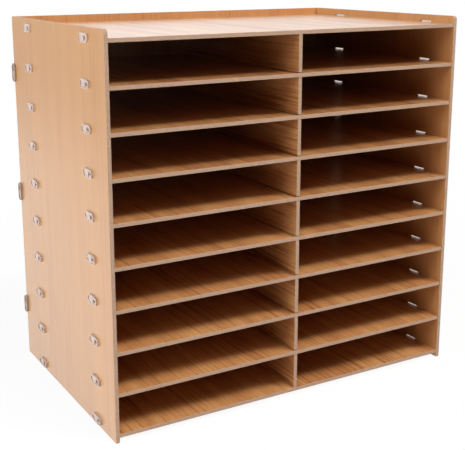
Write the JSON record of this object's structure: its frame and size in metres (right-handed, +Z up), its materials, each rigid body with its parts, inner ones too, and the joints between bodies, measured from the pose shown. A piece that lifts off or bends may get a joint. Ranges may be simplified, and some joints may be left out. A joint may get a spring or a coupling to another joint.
{
  "type": "desktop paper organizer",
  "caption": "Desktop paper organizer of thin wood-grain boards: two columns of open flat slots between slotted side panels, held by moulded connectors.",
  "frame": {"origin": "on the floor at the middle of the organizer's overall box, connectors included", "axes": "+X to the right as seen from the open front, +Y from the open front to the back panel, +Z up"},
  "size_m": [0.526, 0.328, 0.498],
  "materials": {
    "board_laminate": "satin printed light-oak grain on both faces of 5 mm fibreboard, plain pinkish-taupe edges",
    "connector_plastic": "semi-gloss, slightly see-through milky moulding",
    "back_connector_plastic": "matt taupe-brown moulding"
  },
  "bodies": {
    "root": {"left_side_panel": "board_laminate", "right_side_panel": "board_laminate", "back_panel": "board_laminate", "top_panel": "board_laminate", "bottom_panel": "board_laminate", "shelf_1": "board_laminate", "shelf_2": "board_laminate", "shelf_3": "board_laminate", "shelf_4": "board_laminate", "shelf_5": "board_laminate", "shelf_6": "board_laminate", "shelf_7": "board_laminate", "shelf_8": "board_laminate", "centre_divider": "board_laminate", "connectors_top": "connector_plastic", "connectors_shelf_1": "connector_plastic", "connectors_shelf_2": "connector_plastic", "connectors_shelf_3": "connector_plastic", "connectors_shelf_4": "connector_plastic", "connectors_shelf_5": "connector_plastic", "connectors_shelf_6": "connector_plastic", "connectors_shelf_7": "connector_plastic", "connectors_shelf_8": "connector_plastic", "connectors_bottom": "connector_plastic", "back_connectors_left": "back_connector_plastic", "back_connectors_right": "back_connector_plastic"}
  },
  "joints": []
}
